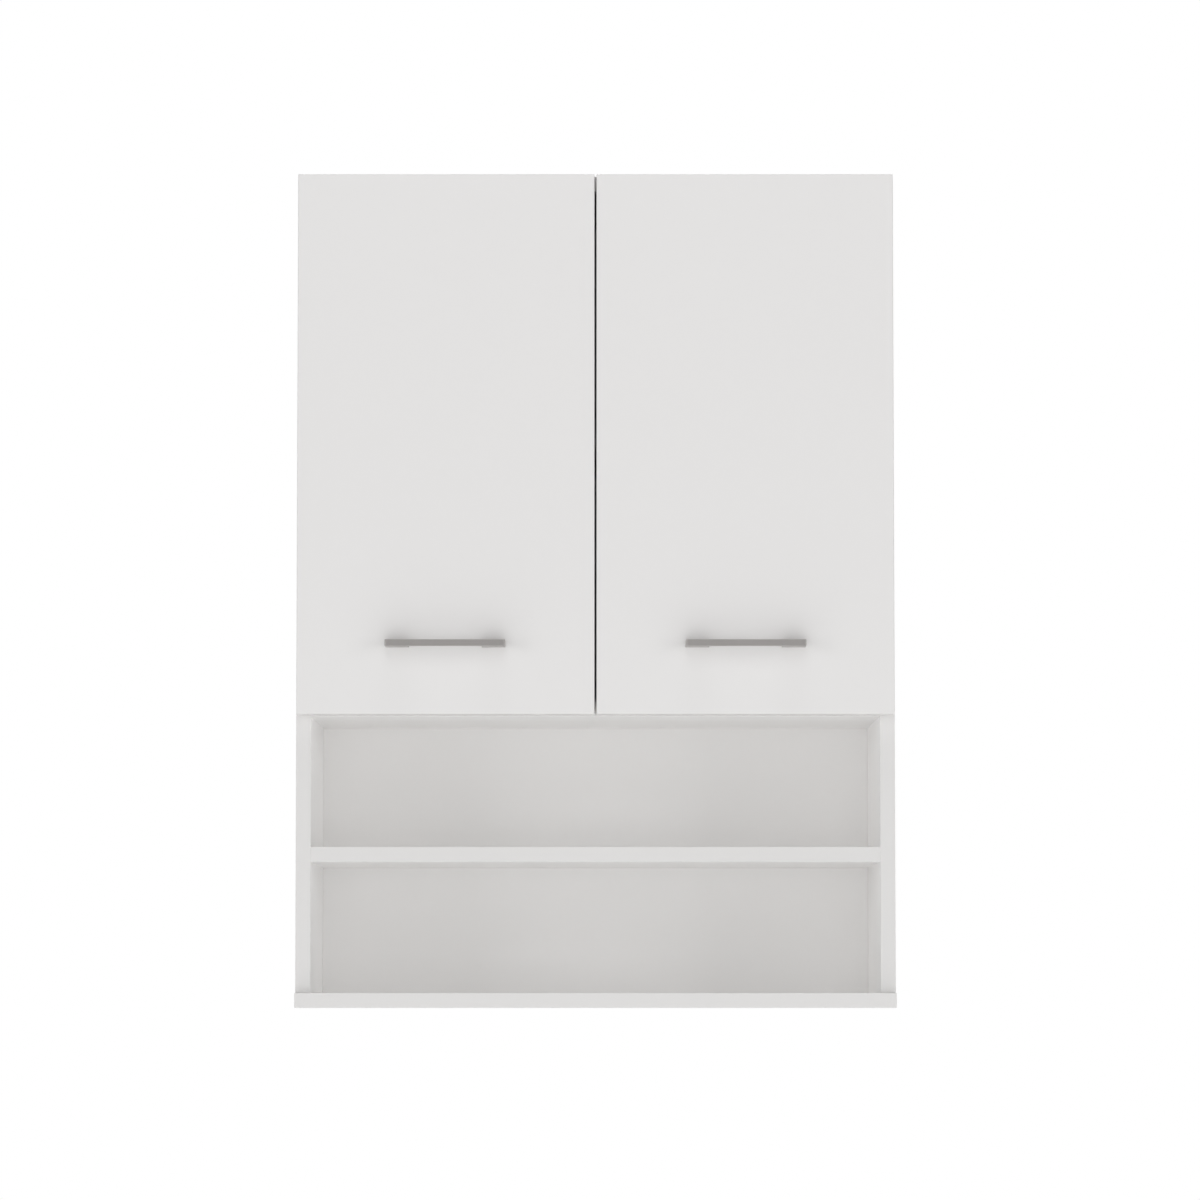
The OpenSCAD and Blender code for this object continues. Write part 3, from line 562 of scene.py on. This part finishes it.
def soften(node, body, slot, material, width, segments):
    """A small fitting: its CAD mesh with rounded edges."""
    bm = node_copy(node)
    round_edges(bm, sharp_edges(bm, FITTING_SHARP), width, segments)
    add_piece(node + "_finished", bm, [material], body, slot, node, smooth=FITTING_SMOOTH)


def make_fittings():
    """The cams, dowels, pins, hangers and hinges, with their caps and bumpers."""
    for node, *finish in CARCASS_FITTINGS:
        soften(node, "carcass", *finish)
    for side in SIDES:
        for start, *finish in SIDE_FITTINGS:
            soften(start + side, "carcass", *finish)
        for start, *finish in DOOR_FITTINGS:
            soften(start + side, side + "_door", *finish)


# ---------------------------------------------------------------- screws

# Proportions of a cross head: the dome is a share of the height, the recess's arms are
# shares of the radius and the height
HEAD_SIDES = 32
DOME_SHARE = 0.55
DOME_SEGMENTS = 4
RECESS_LENGTH = 1.15
RECESS_WIDTH = 0.26
RECESS_DEPTH = 1.1
SHANK_SIDES = 24
SHANK_TIP = 0.55
# How far each head is turned, in radians for a metre of its place up and across
SPIN_UP = 37.0
SPIN_ACROSS = 11.0


def cross_head(radius, height):
    """The mesh of a low domed screw head along +Z from 0, with a cross recess."""
    bm = bmesh.new()
    bmesh.ops.create_circle(bm, cap_ends=True, segments=HEAD_SIDES, radius=radius)
    rise = bmesh.ops.extrude_face_region(bm, geom=list(bm.faces))
    top = [v for v in rise["geom"] if isinstance(v, bmesh.types.BMVert)]
    bmesh.ops.translate(bm, verts=top, vec=(0, 0, height))
    rim = [e for e in bm.edges if all(v.co.z > height / 2 for v in e.verts)]
    round_edges(bm, rim, height * DOME_SHARE, DOME_SEGMENTS)
    bmesh.ops.recalc_face_normals(bm, faces=bm.faces)
    head = mesh_object("head", bm)
    blade = mesh_object("blade", cross_blade(radius, height))
    cut = head.modifiers.new("cut", "BOOLEAN")
    cut.operation = "DIFFERENCE"
    cut.solver = "EXACT"
    cut.use_self = True
    cut.object = blade
    bpy.context.view_layer.update()
    seen = head.evaluated_get(bpy.context.evaluated_depsgraph_get())
    mesh = bpy.data.meshes.new_from_object(seen)
    for spare in (head, blade):
        bpy.data.objects.remove(spare)
    return mesh


def cross_blade(radius, height):
    """Two crossed bars that cut the recess of a head."""
    bm = bmesh.new()
    size = (radius * RECESS_LENGTH, radius * RECESS_WIDTH, height * RECESS_DEPTH, 1)
    for turn in (0, math.pi / 2):
        arm = bmesh.ops.create_cube(bm, size=1.0)["verts"]
        place = (Matrix.Rotation(turn, 4, "Z") @ Matrix.Translation((0, 0, height))
                 @ Matrix.Diagonal(size))
        bmesh.ops.transform(bm, matrix=place, verts=arm)
    return bm


def islands(node):
    """The boxes (low, high) of the separate solids of a CAD node, in order of place."""
    bm = node_copy(node)
    left = set(bm.verts)
    found = []
    while left:
        stack = [left.pop()]
        group = []
        while stack:
            v = stack.pop()
            group.append(v.co.copy())
            for e in v.link_edges:
                other = e.other_vert(v)
                if other in left:
                    left.remove(other)
                    stack.append(other)
        lo = Vector(min(c[i] for c in group) for i in range(3))
        hi = Vector(max(c[i] for c in group) for i in range(3))
        found.append((lo, hi))
    bm.free()
    return sorted(found, key=lambda box: tuple(round(c, PLACE_DIGITS) for c in box[0]))


def add_screw(bm, lo, hi, axis, facing, head_height, shank_radius):
    """Adds a screw that fills a box, with its head at the end it faces along an axis."""
    across = Y if axis == X else X
    radius = (hi[across] - lo[across]) / 2
    middle = (lo + hi) / 2
    outward = Vector((0, 0, 0))
    outward[axis] = facing
    foot = middle.copy()
    foot[axis] = (hi[axis] if facing > 0 else lo[axis]) - facing * head_height
    turn = Vector((0, 0, 1)).rotation_difference(outward).to_matrix().to_4x4()
    spin = Matrix.Rotation(middle.z * SPIN_UP + middle.x * SPIN_ACROSS, 4, "Z")
    head = cross_head(radius, head_height)
    head.transform(Matrix.Translation(foot) @ turn @ spin)
    bm.from_mesh(head)
    bpy.data.meshes.remove(head)
    length = (hi[axis] - lo[axis]) - head_height
    shank = bmesh.ops.create_cone(bm, cap_ends=True, segments=SHANK_SIDES,
                                  radius1=shank_radius * SHANK_TIP, radius2=shank_radius,
                                  depth=length)["verts"]
    down = Matrix.Translation(foot - outward * length / 2) @ turn
    bmesh.ops.transform(bm, matrix=down, verts=shank)


def screw_set(node, body, slot, axis, head_side, head_height, shank_radius):
    """Screws of a CAD node, each with a cross head and a plain shank."""
    bm = bmesh.new()
    for lo, hi in islands(node):
        facing = head_side((lo + hi) / 2)
        add_screw(bm, lo, hi, axis, facing, head_height, shank_radius)
    add_piece(node + "_finished", bm, [ZINC], body, slot, node, smooth=SCREW_SMOOTH)


def towards_middle(place):
    """Heads that face the middle of the cabinet."""
    return -1 if place.x > 0 else 1


def towards_wall(place):
    """Heads that face the wall."""
    return 1


# Each set of screws: node, slot, axis, side of the heads, head height, shank radius
CARCASS_SCREWS = (
    ("hinge_plate_screws", "screw_steel", X, towards_middle, 1.6 * MM, 1.6 * MM),
    ("hinge_adjust_screws", "screw_steel", X, towards_middle, 1.6 * MM, 2.0 * MM),
    ("hanger_screws", "screw_steel", X, towards_middle, 2.0 * MM, 2.0 * MM),
    ("back_panel_screws", "screw_steel", Y, towards_wall, 1.4 * MM, 1.5 * MM),
)
# The same for the screws of each door
DOOR_SCREWS = (
    ("handle_screws_", "zinc_plate", Y, towards_wall, 2.2 * MM, 2.0 * MM),
    ("hinge_cup_screws_", "screw_steel", Y, towards_wall, 1.0 * MM, 1.7 * MM),
)


def make_screws():
    """The cross-head screws of the hinges, hangers, back panel and handles."""
    for node, *sizes in CARCASS_SCREWS:
        screw_set(node, "carcass", *sizes)
    for side in SIDES:
        for start, *sizes in DOOR_SCREWS:
            screw_set(start + side, side + "_door", *sizes)


# ---------------------------------------------------------------- stage

CAMERA_HEIGHT = 0.008
CAMERA_DISTANCE = 5.43
CAMERA_REACH = 50.0
LENS = 162.7
SHIFT_X = 0.00375
SHIFT_Y = 0.02
SENSOR = 36.0
AIM_RISE = 1.0 / 3.0

FLOOR_Z = -1.6
FLOOR_REACH = 25.0
FLOOR_GLOW = 0.5
FLOOR_GREY = 0.55
WHITE = (1, 1, 1, 1)
WORLD_LIGHT = 0.17
DIFFUSE_BOUNCES = 10
MAX_BOUNCES = 12

# Softboxes round the cabinet: place, size, power in watts and whether metal mirrors them
SOFTBOX_AIM = (0.0, -0.14, 0.42)
SOFTBOX_SIZE = (2.0, 2.0)
OVERHEAD_SIZE = (5.0, 5.0)
SOFTBOXES = {
    "upper softbox": ((0.0, -4.3, 2.4), SOFTBOX_SIZE, 22.0, True),
    "lower softbox": ((0.0, -4.5, -0.55), SOFTBOX_SIZE, 21.0, False),
    "left softbox": ((-3.5, -3.5, 0.45), SOFTBOX_SIZE, 38.0, True),
    "right softbox": ((3.5, -3.5, 0.45), SOFTBOX_SIZE, 38.0, True),
    "rear softbox": ((0.0, 4.2, 1.8), SOFTBOX_SIZE, 60.0, True),
    "overhead softbox": ((0.0, 0.0, 8.0), OVERHEAD_SIZE, 260.0, True),
}


def make_camera():
    """A long lens level with the bottom panel, tilted up a little."""
    data = bpy.data.cameras.new("camera")
    data.sensor_width = SENSOR
    data.lens = LENS
    data.shift_x = SHIFT_X
    data.shift_y = SHIFT_Y
    data.clip_end = CAMERA_REACH
    made = bpy.data.objects.new("camera", data)
    tilt = math.atan((AIM_RISE - SHIFT_Y) * SENSOR / LENS)
    made.location = (0.0, CARCASS_FRONT - CAMERA_DISTANCE, CAMERA_HEIGHT)
    made.rotation_euler = (math.pi / 2 + tilt, 0, 0)
    bpy.context.scene.collection.objects.link(made)
    bpy.context.scene.camera = made


def make_softbox(name, place, size, power, mirrored):
    """A square light that faces the cabinet and isn't seen itself."""
    data = bpy.data.lights.new(name, "AREA")
    data.shape = "RECTANGLE"
    data.size, data.size_y = size
    data.energy = power
    made = bpy.data.objects.new(name, data)
    made.location = place
    facing = Vector(SOFTBOX_AIM) - Vector(place)
    made.rotation_euler = facing.to_track_quat("-Z", "Y").to_euler()
    made.visible_camera = False
    made.visible_glossy = mirrored
    bpy.context.scene.collection.objects.link(made)


def make_floor():
    """A pale floor that glows a little and is seen through from below."""
    bm = bmesh.new()
    bmesh.ops.create_grid(bm, x_segments=1, y_segments=1, size=FLOOR_REACH)
    bmesh.ops.translate(bm, verts=bm.verts, vec=(0, 0, FLOOR_Z))
    floor = mesh_object("floor", bm)
    made, tree, shader = blank_material(
        "pale floor", Base_Color=(FLOOR_GREY, FLOOR_GREY, FLOOR_GREY, 1), Roughness=0.8,
        Emission_Color=WHITE, Emission_Strength=FLOOR_GLOW)
    side = tree.nodes.new("ShaderNodeNewGeometry")
    clear = tree.nodes.new("ShaderNodeBsdfTransparent")
    mix_shader(tree, side.outputs["Backfacing"], shader.outputs["BSDF"],
               clear.outputs["BSDF"], tree.nodes["Material Output"])
    floor.data.materials.append(made)


def make_world():
    """A white backdrop that gives less light than it shows."""
    world = bpy.data.worlds.new("studio")
    world.use_nodes = True
    tree = world.node_tree
    lit = tree.nodes["Background"]
    connect(tree, lit, Color=WHITE, Strength=WORLD_LIGHT)
    seen = new_node(tree, "ShaderNodeBackground", Color=WHITE, Strength=1.0)
    path = tree.nodes.new("ShaderNodeLightPath")
    mix_shader(tree, path.outputs["Is Camera Ray"], lit.outputs["Background"],
               seen.outputs["Background"], tree.nodes["World Output"])
    bpy.context.scene.world = world


def make_stage():
    """A plain pale floor under soft studio light."""
    make_camera()
    make_world()
    make_floor()
    for name, values in SOFTBOXES.items():
        make_softbox(name, *values)
    scene = bpy.context.scene
    scene.cycles.diffuse_bounces = DIFFUSE_BOUNCES
    scene.cycles.max_bounces = MAX_BOUNCES
    scene.view_settings.view_transform = "Standard"
    scene.view_settings.look = "None"


make_boards()
make_back()
make_bands()
make_handles()
make_fittings()
make_screws()
make_stage()
